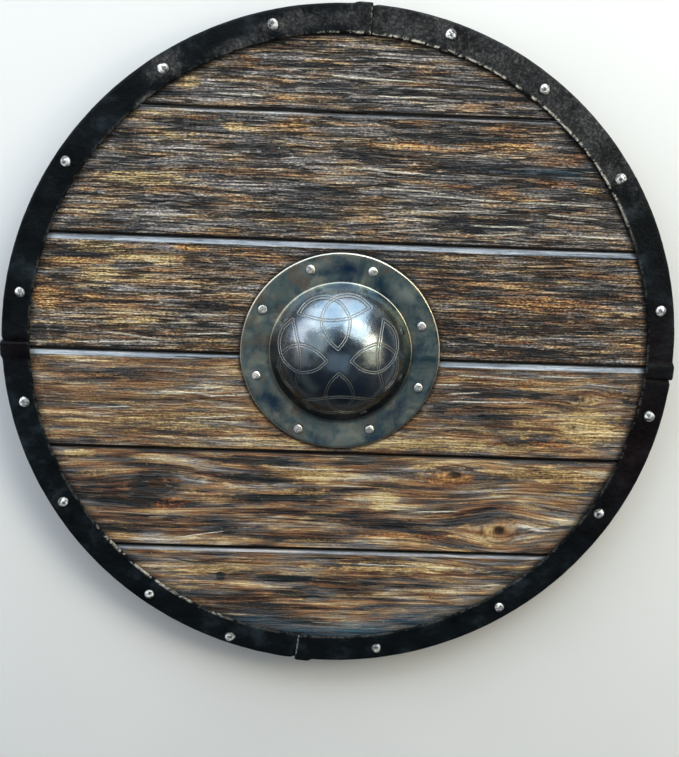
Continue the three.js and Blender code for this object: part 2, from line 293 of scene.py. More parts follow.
class Surface:
    """A material's node tree, made one node at a time."""

    def __init__(self, name):
        self.material = bpy.data.materials.new(name)
        self.material.use_nodes = True
        self.tree = self.material.node_tree
        self.shader = self.tree.nodes["Principled BSDF"]

    def feed(self, socket, value):
        if isinstance(value, bpy.types.NodeSocket):
            self.tree.links.new(value, socket)
        else:
            socket.default_value = value

    def node(self, kind, inputs=(), output=0, **settings):
        made = self.tree.nodes.new(kind)
        for name, value in settings.items():
            setattr(made, name, value)
        for socket, value in dict(inputs).items():
            self.feed(made.inputs[socket], value)
        return made.outputs[output]

    def attribute(self, name):
        return self.node("ShaderNodeAttribute", output="Vector", attribute_name=name)

    def parts(self, vector):
        made = self.tree.nodes.new("ShaderNodeSeparateXYZ")
        self.feed(made.inputs[0], vector)
        return tuple(made.outputs)

    def noise(self, vector, sizes, detail, roughness=0.5, distortion=0.0):
        """Noise with cells of these sizes, one number where they are the same all ways."""
        sizes = sizes if isinstance(sizes, tuple) else (sizes, sizes, sizes)
        stretch = [1 / size for size in sizes]
        placed = self.node("ShaderNodeVectorMath", {0: vector, 1: stretch}, operation="MULTIPLY")
        return self.node("ShaderNodeTexNoise", {
            "Vector": placed, "Scale": 1, "Detail": detail, "Roughness": roughness,
            "Distortion": distortion,
        })

    def maths(self, operation, *values):
        return self.node("ShaderNodeMath", dict(enumerate(values)), operation=operation)

    def chain(self, operation, values):
        result = values[0]
        for value in values[1:]:
            result = self.maths(operation, result, value)
        return result

    def add(self, *values):
        return self.chain("ADD", values)

    def times(self, *values):
        return self.chain("MULTIPLY", values)

    def most(self, *values):
        return self.chain("MAXIMUM", values)

    def spread(self, noise, amount):
        """Noise around its mean of a half, times an amount."""
        return self.maths("MULTIPLY", self.maths("SUBTRACT", noise, 0.5), amount)

    def step(self, value, low, high):
        """0 below low, 1 above high, or the other way round where low is the higher."""
        return self.node(
            "ShaderNodeMapRange", {"Value": value, "From Min": low, "From Max": high},
            interpolation_type="SMOOTHSTEP",
        )

    def near(self, value, target, far, close):
        """1 where a value is within close of a target and 0 beyond far."""
        return self.step(self.maths("ABSOLUTE", self.maths("SUBTRACT", value, target)), far, close)

    def mix(self, share, first, second):
        return self.node("ShaderNodeMix", {0: share, 6: first, 7: second}, output=2, data_type="RGBA")

    def ramp(self, value, stops):
        """A ramp through stops, each a place and a colour as the eye sees it."""
        made = self.tree.nodes.new("ShaderNodeValToRGB")
        self.feed(made.inputs[0], value)
        steps = made.color_ramp.elements
        while len(steps) < len(stops):
            steps.new(0.5)
        for step, (place, _) in zip(steps, stops):
            step.position = place
        for step, (_, colour) in zip(steps, stops):
            step.color = tone(*colour)
        return made.outputs[0]

    def bump(self, height, distance):
        return self.node("ShaderNodeBump", {"Height": height, "Distance": distance, "Strength": 1.0})

    def finish(self, **inputs):
        for name, value in inputs.items():
            self.feed(self.shader.inputs[name.replace("_", " ")], value)
        return self.material


# The wood's colours from dark to light, at these places of a ramp
STOPS = [0.0, 0.22, 0.42, 0.6, 0.78, 1.0]
NEUTRAL = [(14, 13, 12), (48, 41, 37), (98, 82, 70), (134, 112, 92), (170, 147, 120), (230, 213, 184)]
COOL = [(9, 14, 18), (40, 45, 50), (86, 85, 87), (118, 112, 111), (154, 147, 142), (222, 214, 206)]
WARM = [(18, 12, 9), (70, 44, 32), (130, 84, 56), (170, 116, 70), (208, 158, 98), (238, 208, 152)]
GOLD = [(18, 14, 10), (66, 52, 35), (136, 107, 70), (184, 149, 96), (218, 186, 128), (242, 221, 174)]


def wood(name, lightness, coolness, crisp, banding, seed):
    """Dark stained softwood, brushed along its grain and worn through to its own colour in patches.

    Coolness turns it from brown to grey. Crisp is the strength of its fine fibres and cracks, and
    banding that of its broad streaks.
    """
    s = Surface(name)
    grain = s.node("ShaderNodeVectorMath", {0: s.attribute("grain"), 1: (seed * 37.0, seed * 11.0, seed)})
    worn, orange, dark = s.parts(s.attribute("patches"))
    chamfer_sheen, crack_and_shade, knot = s.parts(s.attribute("marks"))
    scratched, teal, shade = s.parts(s.attribute("tints"))

    broad = s.noise(grain, (100, 14, 1), 4, 0.6, 0.3)
    streak = s.noise(grain, (90, 3.4, 1), 4, 0.65)
    fibre = s.noise(grain, (18, 1.5, 1), 3, 0.6)
    speck = s.noise(grain, (2.8, 1.6, 1), 2, 0.6)
    ragged = s.noise(grain, (15, 3.4, 1), 5, 0.75)
    hue = s.add(s.noise(grain, (60, 8, 1), 4, 0.6), coolness)
    wash = s.noise(grain, (80, 7, 1), 4, 0.6, 0.4)
    gold = s.noise(grain, (50, 6, 1), 4, 0.65, 0.4)
    copper = s.noise(grain, (60, 5.4, 1), 4, 0.65, 0.4)

    worn_here = s.step(s.add(worn, s.spread(ragged, 2.2)), 0.32, 0.62)
    gilt = s.step(s.add(gold, s.times(worn, 0.12), -0.8 * coolness), 0.58, 0.66)
    golden = s.most(worn_here, s.times(gilt, 0.6))
    orange_here = s.step(s.add(orange, s.spread(ragged, 1.8)), 0.34, 0.62)
    orange_here = s.most(orange_here, s.times(s.step(copper, 0.6, 0.67), 0.45))
    washed = s.step(s.add(wash, s.times(worn, -0.1), s.times(coolness, 0.5)), 0.55, 0.62)
    washed = s.most(s.times(washed, 0.85), s.step(s.add(dark, s.spread(ragged, 1.6)), 0.3, 0.6))
    bare = s.most(golden, orange_here)
    value = s.add(
        lightness,
        s.spread(broad, 1.25 * banding), s.spread(streak, 0.9 * banding), s.spread(fibre, 1.0 * crisp),
        s.times(s.spread(speck, 1.3), s.add(0.8 * crisp, s.times(bare, 0.6))),
        s.times(golden, 0.18), s.times(orange_here, 0.12), s.times(washed, -0.28), s.times(shade, -0.15),
    )
    neutral, cool, warm, yellow = [
        s.ramp(value, list(zip(STOPS, shades))) for shades in (NEUTRAL, COOL, WARM, GOLD)
    ]
    colour = s.mix(s.step(hue, 0.46, 0.57), neutral, cool)
    colour = s.mix(s.times(s.step(hue, 0.47, 0.37), 0.6), colour, warm)
    colour = s.mix(golden, colour, yellow)
    colour = s.mix(orange_here, colour, warm)
    colour = s.mix(s.times(washed, 0.55), colour, tone(28, 38, 43))
    colour = s.mix(s.times(teal, s.step(streak, 0.3, 0.55)), colour, tone(44, 98, 122))

    line = s.noise(grain, (110, 6, 1), 2, 0.5)
    split = s.near(line, 0.5, 0.042, 0.022)
    crack_highlight = s.near(line, 0.44, 0.03, 0.01)
    hairline = s.noise(grain, (150, 3.8, 1), 1, 0.5)
    hairline = s.near(hairline, 0.5, 0.05, 0.03)
    broken = s.times(s.step(ragged, 0.4, 0.48), min(1, crisp))
    split = s.times(s.most(split, s.times(hairline, 0.8)), broken)
    # A painted highlight along one side of the cracks
    colour = s.mix(s.times(crack_highlight, broken, 0.12), colour, tone(206, 188, 164))
    scratch = s.noise(grain, (46, 1.7, 1), 1, 0.4)
    scratch = s.times(s.step(scratch, 0.7, 0.76), s.step(gold, 0.46, 0.54), min(1, 0.3 + crisp))
    scratch = s.most(s.times(scratch, 0.7), s.times(scratched, s.step(speck, 0.28, 0.46)))
    fleck = s.step(s.noise(grain, (1.6, 1.5, 1), 1, 0.4), 0.76, 0.82)
    colour = s.mix(s.times(split, 0.9), colour, tone(12, 12, 13))
    colour = s.mix(s.most(s.times(scratch, 0.85), s.times(fleck, 0.8)), colour, tone(238, 230, 212))
    colour = s.mix(knot, colour, s.ramp(fibre, [(0.3, (20, 15, 12)), (0.7, (84, 62, 44))]))

    # Painted sky sheen on the upper chamfers: a pale blue-grey that stands in for reflected light
    chamfer_sky_sheen = s.ramp(s.add(streak, s.spread(ragged, 0.5), s.spread(broad, 0.5)), [
        (0.3, (92, 98, 108)), (0.48, (144, 152, 162)), (0.65, (186, 192, 200)),
    ])
    colour = s.mix(chamfer_sheen, colour, chamfer_sky_sheen)
    # Cracks, a dark line below each chamfer's ridge, and painted shade along the seams, the rim and the
    # flange, nearly black
    colour = s.mix(s.times(crack_and_shade, 0.95), colour, tone(6, 6, 7))
    rough = s.add(0.5, s.spread(fibre, 0.5), s.times(bare, 0.15), s.times(chamfer_sheen, -0.1))
    relief = s.add(
        s.spread(streak, 1.5), s.spread(fibre, 1.3 * crisp), s.spread(speck, 0.9 * crisp),
        s.times(split, -0.9), s.times(scratch, 0.3),
    )
    relief = s.times(relief, s.add(1, s.times(chamfer_sheen, -0.75)))
    return s.finish(
        Base_Color=colour, Roughness=rough, Specular_IOR_Level=0.3, Normal=s.bump(relief, 0.0013),
    )


def leather():
    """Thick black leather, rubbed grey where its face is worn through."""
    s = Surface("rim_leather")
    place = s.attribute("place")
    worn, warm, edge = s.parts(s.attribute("wear_and_painted_light"))
    cloud = s.noise(place, 26, 4, 0.6)
    pores = s.noise(place, 1.3, 3, 0.65)
    crease = s.noise(place, 7, 4, 0.6, 0.6)
    fine = s.noise(place, 2.6, 3, 0.6)
    colour = s.ramp(cloud, [(0.35, (4, 7, 10)), (0.55, (12, 18, 22)), (0.72, (36, 44, 50))])
    colour = s.mix(warm, colour, s.ramp(cloud, [(0.35, (4, 1, 3)), (0.7, (22, 9, 13))]))
    rubbed = s.add(worn, s.spread(cloud, 1.2), s.spread(crease, 1.0), s.spread(pores, 0.5))
    rubbed = s.step(rubbed, 0.3, 1.25)
    grey = s.ramp(fine, [(0.3, (40, 40, 42)), (0.5, (64, 64, 65)), (0.75, (110, 108, 105))])
    colour = s.mix(rubbed, colour, grey)
    raw = s.ramp(fine, [(0.36, (60, 58, 54)), (0.56, (226, 220, 204))])
    colour = s.mix(s.times(edge, s.step(s.add(crease, s.spread(cloud, 0.6)), 0.44, 0.54)), colour, raw)
    rough = s.add(0.46, s.spread(fine, 0.4), s.times(rubbed, 0.25), s.times(edge, 0.3))
    relief = s.add(s.spread(pores, 0.35), s.spread(crease, 1.0), s.spread(fine, 0.4))
    return s.finish(
        Base_Color=colour, Roughness=rough, Specular_IOR_Level=0.1, Normal=s.bump(relief, 0.0009),
    )


def boss_steel():
    """Ground sheet steel, oiled dark, with engraved lines that scatter the light."""
    s = Surface("boss_steel")
    place = s.attribute("place")
    foot_highlight_and_pale_edge, dome, dome_shade = s.parts(s.attribute("wear_and_painted_light"))
    corners = s.parts(s.attribute("lines"))
    line = s.most(*[s.near(part, LINE_OFFSET, 0.42, 0.1) for part in corners])
    blue, pale, _ = s.parts(s.attribute("stain"))
    cloud = s.noise(place, 30, 5, 0.6, 0.5)
    tint = s.noise(place, 20, 5, 0.6, 0.3)
    fine = s.noise(place, 2.2, 3, 0.6)
    steel = s.ramp(cloud, [(0.34, (56, 78, 84)), (0.5, (122, 134, 128)), (0.66, (188, 184, 160))])
    steel = s.mix(s.times(s.step(tint, 0.46, 0.72), 0.7), steel, tone(44, 70, 94))
    steel = s.mix(s.times(s.step(tint, 0.5, 0.3), 0.8), steel, tone(136, 114, 98))
    steel = s.mix(s.times(pale, s.step(tint, 0.62, 0.4)), steel, tone(190, 194, 184))
    steel = s.mix(s.times(blue, s.step(tint, 0.3, 0.55)), steel, tone(34, 56, 84))
    steel = s.mix(s.times(dome, 0.6), steel, tone(132, 146, 162))
    # Painted shade around the lower part of the dome's foot and on its low side
    steel = s.mix(s.times(dome_shade, 0.8), steel, tone(34, 34, 32))
    # A pale flange edge, and a painted highlight around the dome's foot
    steel = s.mix(foot_highlight_and_pale_edge, steel, tone(206, 202, 186))
    # The engraved lines, dimmer in the painted shade
    steel = s.mix(s.times(line, s.add(0.75, s.times(dome_shade, -0.55))), steel, tone(204, 202, 192))
    rough = s.add(0.3, s.spread(cloud, 0.4), s.spread(fine, 0.1), s.times(dome, -0.07), s.times(line, 0.3))
    relief = s.add(s.spread(fine, 0.03), s.spread(cloud, 0.9), s.times(line, -1.2))
    return s.finish(
        Base_Color=steel, Metallic=1.0, Roughness=rough, Normal=s.bump(relief, 0.0006),
    )


def hammered(name, light, dark, roughness, metallic):
    """Metal beaten by hand, darkened with painted shade in its pits, around its foot and on its low side.
    """
    s = Surface(name)
    place = s.attribute("place")
    hollow_and_shade, _, _ = s.parts(s.attribute("wear_and_painted_light"))
    dents = s.noise(place, 2.4, 2, 0.5)
    fine = s.noise(place, 0.6, 3, 0.6)
    colour = s.ramp(s.add(dents, s.spread(fine, 0.4)), [(0.36, dark), (0.54, light)])
    # Painted shade in the pit, around the foot, on the low side and beside the pit
    colour = s.mix(hollow_and_shade, colour, tone(22, 22, 22))
    rough = s.add(roughness, s.spread(fine, 0.25), s.times(hollow_and_shade, 0.3))
    relief = s.add(s.spread(dents, 1.0), s.spread(fine, 0.25))
    return s.finish(
        Base_Color=colour, Metallic=metallic, Roughness=rough, Normal=s.bump(relief, 0.0004),
    )


# Planks

# Worn, orange, dark, bluish and shaded places as x, y, half length, half height and strength
WORN = [
    (-217, 88, 24, 5, 1), (-180, 80, 30, 5, 1), (-217, 65, 22, 8, 0.9), (-161, 77, 8, 4, 1),
    (-181, 63, 12, 5, 0.8), (-188, 22, 42, 9, 0.6), (-141, 233, 12, 5, 0.95), (-99, 197, 13, 4, 0.9),
    (-150, 188, 28, 5, 0.6), (217, 152, 14, 6, 0.7), (41, 127, 38, 8, 0.45), (232, -65, 30, 20, 1),
    (-180, 150, 50, 8, 0.75), (-168, 206, 26, 4, 0.6), (-215, 122, 40, 7, 0.35), (-14, 113, 14, 5, 0.6),
    (171, -63, 9, 3, 1), (174, -76, 6, 3, 0.8), (-150, -70, 80, 16, 0.5), (60, -86, 150, 7, 0.7),
    (-17, -118, 40, 9, 0.8), (-23, -136, 30, 5, 0.7), (47, -141, 15, 13, 0.9), (200, -112, 50, 9, 0.8),
    (-234, -104, 22, 4, 0.7), (65, -209, 110, 7, 0.6), (-120, -215, 60, 9, 0.5), (235, -122, 20, 16, 0.5),
    (110, -180, 30, 6, 0.3), (0, 272, 110, 8, 0.3), (120, 45, 70, 12, 0.25), (-100, 120, 80, 8, 0.2),
]
ORANGE = [
    (-237, 75, 34, 4, 0.95), (-134, 90, 18, 4, 0.95), (-262, 42, 20, 11, 1), (-223, 43, 12, 5, 0.9),
    (-48, 201, 22, 6, 0.9), (45, 187, 56, 6, 0.75), (138, 189, 48, 5, 0.85), (182, 158, 24, 5, 0.8),
    (-94, 255, 26, 4, 0.6), (-18, 273, 26, 5, 0.6), (188, 50, 60, 7, 0.8), (-160, -128, 22, 3, 0.9),
    (-225, 138, 34, 6, 0.5), (-130, 205, 30, 4, 0.6),
    (-152, -150, 20, 6, 1), (64, -176, 70, 4, 0.7), (108, -118, 28, 8, 0.85), (160, -24, 60, 7, 0.6),
    (200, -82, 34, 5, 0.7), (-60, -150, 60, 6, 0.4), (-90, 50, 40, 6, 0.4), (150, 112, 50, 6, 0.35),
]
DARK = [
    (-271, 9, 9, 9, 1), (-255, 10, 8, 9, 1), (-233, 81, 30, 3, 1), (-180, 75, 10, 3, 0.9),
    (-132, 77, 18, 4, 0.9), (-117, 64, 30, 3, 0.8), (-114, 37, 31, 4, 0.9), (-122, 19, 28, 3, 0.6),
    (-255, 60, 20, 6, 0.6), (150, -35, 50, 5, 1), (92, -52, 10, 4, 0.8), (157, -57, 42, 4, 0.8),
    (268, -42, 9, 22, 0.6), (-172, -136, 24, 15, 0.85), (-77, -106, 50, 5, 0.9), (-84, -125, 55, 7, 0.7),
    (-52, -142, 60, 4, 0.9), (-44, -223, 32, 4, 0.9), (91, 196, 58, 4, 0.9), (139, 170, 88, 5, 0.9),
    (26, 175, 40, 6, 0.7), (41, -164, 50, 5, 0.9), (-65, 176, 30, 8, 0.7), (-110, 120, 60, 6, 0.4),
    (190, -222, 50, 8, 0.5), (108, -108, 40, 4, 0.7), (40, 252, 90, 4, 0.5), (-105, -222, 5, 5, 1),
]
TEAL = [
    (262, -90, 20, 12, 0.6), (252, -150, 22, 20, 0.6), (222, -205, 30, 12, 0.6), (110, -265, 70, 12, 0.8),
    (10, -276, 90, 8, 1), (-80, -268, 50, 6, 0.5), (200, 168, 50, 4, 0.4), (-190, 160, 40, 5, 0.3),
]
SHADES = [
    (200, 165, 110, 55, 1.1), (190, 40, 110, 45, 1.2), (-180, -150, 80, 40, 1.1), (-60, -160, 90, 30, 0.5),
    (170, -55, 100, 26, 0.9), (-30, -235, 140, 20, 0.4), (40, 20, 60, 40, 0.6),
]
# Pale scratches as their start in x and y, length and slope
SCRATCHES = [
    (-216, 12, 60, -0.12), (-243, 1, 88, 0.03), (-136, 29, 36, 0.03), (-157, 22, 30, 0),
    (-119, 23, 29, -0.03), (-144, 12, 50, 0.03), (-165, -42, 60, -0.05), (-120, -46, 52, 0.09),
    (-142, -67, 66, 0.06), (-230, -60, 44, 0.04), (106, -19, 70, -0.02), (184, -17, 48, -0.02),
    (99, -37, 33, 0.06), (100, -44, 88, 0.03), (86, -29, 27, 0.06), (-145, -184, 43, 0.17),
    (-3, 167, 85, -0.07), (25, 149, 70, -0.04), (49, 144, 104, -0.03), (153, 141, 77, -0.02),
    (54, 129, 95, 0.04),
    (26, 109, 58, 0.11), (112, 110, 55, 0.06), (167, 113, 90, -0.01), (110, 119, 60, 0),
    (180, 131, 50, -0.05), (-190, 118, 60, 0.02), (-120, 226, 50, -0.03), (20, 228, 60, 0.01),
    (-60, -112, 80, -0.02), (60, -152, 60, 0.02), (20, -206, 70, -0.02), (-180, -214, 50, 0.03),
    (-70, 288, 50, -0.05), (40, 278, 60, -0.04), (-20, 244, 90, -0.03),
]
# Knots as x, y, half length, half height and how far the grain bends around them
KNOTS = [
    (-65, 178, 11, 5, 0.75), (226, -38, 8, 6, 0.8), (157, -168, 19, 14, 0.85), (-166, -132, 24, 13, 0.55),
    (-112, 64, 9, 4, 0.5), (30, 250, 8, 3.5, 0.6), (219, -65, 5, 4, 0.6), (112, -114, 22, 10, 0.7),
]
# Long cracks as their start in x and y, length and slope
CRACKS = [
    (-60, 180, 90, 0.05), (-40, 168, 60, -0.04), (-20, 186, 70, 0.02), (-140, 232, 120, -0.03),
    (-80, 250, 150, -0.05), (40, 240, 110, -0.04), (-30, 264, 90, 0.03), (90, 258, 70, -0.06),
    (-200, 130, 130, 0), (60, 136, 150, -0.03), (-180, 52, 70, -0.02), (120, 84, 110, -0.01),
    (120, -50, 70, 0.03), (-220, -50, 90, -0.02), (-100, -162, 120, -0.02), (40, -152, 80, 0.01),
    (-160, -206, 110, -0.03), (0, -236, 120, -0.02), (110, 20, 90, 0.02), (-240, 108, 60, 0.02),
    (-152, -8.5, 38, -0.08), (-20, 180, 130, -0.03), (90, 200, 130, -0.03), (-140, 190, 100, 0.02),
]


def blots(x, y, places):
    """How strongly soft-edged places lie over each point."""
    total = np.zeros_like(x)
    for cx, cy, length, height, strength in places:
        total = np.maximum(total, strength * np.exp(-((x - cx) / length) ** 2 - ((y - cy) / height) ** 2))
    return total


def thin_marks(x, y, marks, half_width, wandering, seed):
    """How deep in one of these thin marks along the grain each point lies, from 0 to 1."""
    total = np.zeros_like(x)
    for number, (start, height, length, slope) in enumerate(marks):
        along = (x - start) / length
        wander = (smooth_noise(x / 22, np.full_like(x, number), seed + number) - 0.5) * wandering
        off = np.abs(y - height - slope * (x - start) - wander)
        width = half_width * fade(0, 0.12, along) * fade(1, 0.75, along)
        total = np.maximum(total, np.where(width > 0.02, 1 - off / np.maximum(width, 0.02), 0))
    return np.clip(total, 0, 1)


def grain_height(x, y):
    """Each point's place across the grain, which flows around the knots and wanders a little."""
    height = y + 5 * (layered_noise(x / 150, y / 45, 11) - 0.5)
    for cx, cy, length, tall, bend in KNOTS:
        near = np.exp(-((x - cx) / (2.4 * length)) ** 2 - ((y - cy) / (1.8 * tall)) ** 2)
        height = height - (y - cy) * bend * near
    return height


def knot_rings(x, y):
    """How dark each point is from a knot's heart and its two rings."""
    total = np.zeros_like(x)
    for cx, cy, length, tall, _ in KNOTS:
        away = np.hypot((x - cx) / length, (y - cy) / tall)
        heart = fade(0.42, 0.24, away)
        rings = fade(0.12, 0.0, np.abs(away - 0.9)) * 0.7 + fade(0.08, 0.0, np.abs(away - 0.66)) * 0.4
        total = np.maximum(total, np.maximum(heart, rings))
    return total


def plank_edges(number):
    """Heights of a plank's lower and upper edge, or the rim where it has no seam."""
    low = -RIM_RADIUS if number == len(SEAMS) else SEAMS[number] + SEAM_GAP / 2
    high = RIM_RADIUS if number == 0 else SEAMS[number - 1] - SEAM_GAP / 2
    return low, high


def plank(number, lightness, coolness, crisp, banding):
    """A plank made of rings across it, each up its front and down its back."""
    low, high = plank_edges(number)
    nearest = 0 if low < 0 < high else min(abs(low), abs(high))
    reach = math.sqrt(BOARD_RADIUS ** 2 - nearest ** 2)
    ends = reach - np.array([5.5, 3.6, 2.2, 1.1, 0.3])
    stations = [np.arange(-reach + 8, reach - 7, STATION_STEP), ends, -ends]
    if number in (UPPER_HOLED, LOWER_HOLED):
        around_hole = HAND_HOLE_RADIUS * np.cos(np.radians([5.8, 6.4, 11, 16, 22, 28, 35, 43]))
        stations += [around_hole, -around_hole]
    x = np.unique(np.round(np.concatenate(stations), 3))
    rim = np.sqrt(BOARD_RADIUS ** 2 - x ** 2)
    bottom = np.maximum(low, -rim)
    top = np.minimum(high, rim)
    hole = np.sqrt(np.maximum(HAND_HOLE_RADIUS ** 2 - x ** 2, 0))
    if number == UPPER_HOLED:
        bottom = np.where(hole > -low, hole, bottom)
    if number == LOWER_HOLED:
        top = np.where(hole > -high, -hole, top)

    outermost = number in (0, len(SEAMS))
    front_count = int((OUTER_PLANK_HEIGHT if outermost else high - low) / FRONT_STEP)
    share = np.linspace(0, 1, front_count)
    xs = np.repeat(x[:, None], front_count, 1)
    ys = bottom[:, None] * (1 - share) + top[:, None] * share
    grain = grain_height(xs, ys)
    # The lower of the holed planks has a chamfer that is half as wide left of the boss
    taper = 1 - 0.5 * fade(-155, -105, xs) * (xs < 0) if number == LOWER_HOLED else 1.0
    wavering = 0.6 * (layered_noise(xs / 60, xs * 0, 40 + number) - 0.5)
    chamfer_width = TOP_CHAMFERS[number] * taper + wavering
    into_top = chamfer_width - (high - ys)
    into_bottom = LOWER_CHAMFER - (ys - low)
    crack_and_shade = thin_marks(xs, ys, CRACKS, 0.9, 3.4, 90)
    scratch = np.clip(2.4 * thin_marks(xs, ys, SCRATCHES, 0.75, 1.2, 150), 0, 1)

    # Painted shade along the seams, beside the rim's inner edge and around the flange, and a dark line
    # below the chamfer's ridge
    away = np.hypot(xs, ys)
    rim_edge = RIM_RADIUS - RIM_FRONT_WIDTH
    seam_shade = np.maximum(fade(0.0, 0.9, into_bottom), 0.95 * fade(1.3, 0.5, high - ys))
    rim_shade = fade(rim_edge - 7, rim_edge, away) * (0.55 + 0.35 * fade(-100, 100, xs + ys))
    flange_shade = 0.85 * fade(FLANGE_RADIUS + 4, FLANGE_RADIUS + 0.5, away)
    cut = fade(-0.6, 0.4, into_top)
    broken = fade(0.38, 0.6, layered_noise(xs / 40, xs * 0, 45 + number))
    ridge_dark_line = 0.8 * np.exp(-((into_top + 1.5) / 0.8) ** 2) * broken * CHAMFER_SHINE[number]
    cracks_and_painted_shade = np.maximum.reduce([crack_and_shade, seam_shade, rim_shade, flange_shade, ridge_dark_line])

    relief = (
        0.55 * layered_noise(xs / 70, grain / 4.2, 60 + number, 3)
        + 0.3 * layered_noise(xs / 26, grain / 1.5, 70 + number, 2)
        + 0.3 * smooth_noise(xs / 160, ys / 35, 80 + number)
    ) * (1 - 0.8 * cut) + 0.8 * crack_and_shade
    drop = np.maximum(into_top, 0) * TOP_CHAMFER_SLOPE + np.maximum(into_bottom, 0) * LOWER_CHAMFER_SLOPE
    front_z = BOARD_FRONT - relief - drop

    back_share = np.concatenate([[1, 0.988], np.linspace(0.965, 0.035, 24), [0.012, 0]])
    back_edge_shade = np.repeat((np.abs(back_share - 0.5) == 0.5)[None, :], len(x), 0)
    back_ys = bottom[:, None] * (1 - back_share) + top[:, None] * back_share
    back_xs = np.repeat(x[:, None], len(back_share), 1)
    back_z = BOARD_BACK + 0.25 * layered_noise(back_xs / 50, back_ys / 6, 30 + number)

    def ringed(front, back):
        return np.concatenate([front, front[:, -1:], back, front[:, :1]], 1)

    ring_x = ringed(xs, back_xs)
    ring_y = ringed(ys, back_ys)
    middle = np.full((len(x), 1), (BOARD_FRONT + BOARD_BACK) / 2)
    ring_z = np.concatenate([front_z, middle, back_z, middle], 1)
    points = np.stack([ring_x, ring_y, ring_z], -1)

    front_only = ((0, 0), (0, ring_x.shape[1] - front_count))
    on_front = np.pad(np.ones(xs.shape), front_only)
    ones = np.ones((len(x), 1))

    def placed(places):
        return blots(ring_x, ring_y, places) * on_front

    ring_grain = ringed(grain, grain_height(back_xs, back_ys) + 400)
    attributes = [
        ("grain", (ring_x, ring_grain, ring_z / 3)),
        ("patches", (placed(WORN), placed(ORANGE), placed(DARK))),
        ("marks", (
            # How strongly each point gets its chamfer's painted sky sheen
            np.pad(cut * CHAMFER_SHINE[number], front_only),
            # Cracks, the ridge line and painted shade on the front; painted shade on the sides in the seams
            # and along the back's seam edges
            np.concatenate([cracks_and_painted_shade, ones, back_edge_shade, ones], 1),
            knot_rings(ring_x, ring_y) * on_front,
        )),
        ("tints", (np.pad(scratch, front_only), placed(TEAL), placed(SHADES))),
    ]
    name = f"plank_{number + 1}"
    material = wood(f"wood_{number + 1}", lightness, coolness, crisp, banding, number + 1)
    skin(f"{name}_wood", points, material, [name], attributes)


# Lightness, coolness, crispness and banding of each plank, from the top down
for number, look in enumerate([
    (0.645, 0.03, 1.15, 0.62), (0.64, 0.02, 1.2, 0.68), (0.605, -0.03, 1.25, 0.75),
    (0.6, -0.055, 0.55, 1.15), (0.56, -0.05, 0.3, 1.65), (0.525, -0.04, 0.3, 1.7),
]):
    plank(number, *look)


# Leather rim

LEATHER = leather()


def sector(degrees, start, full, less, end):
    """0 up to start, 1 from full to less, 0 again from end."""
    return fade(start, full, degrees) * fade(end, less, degrees)


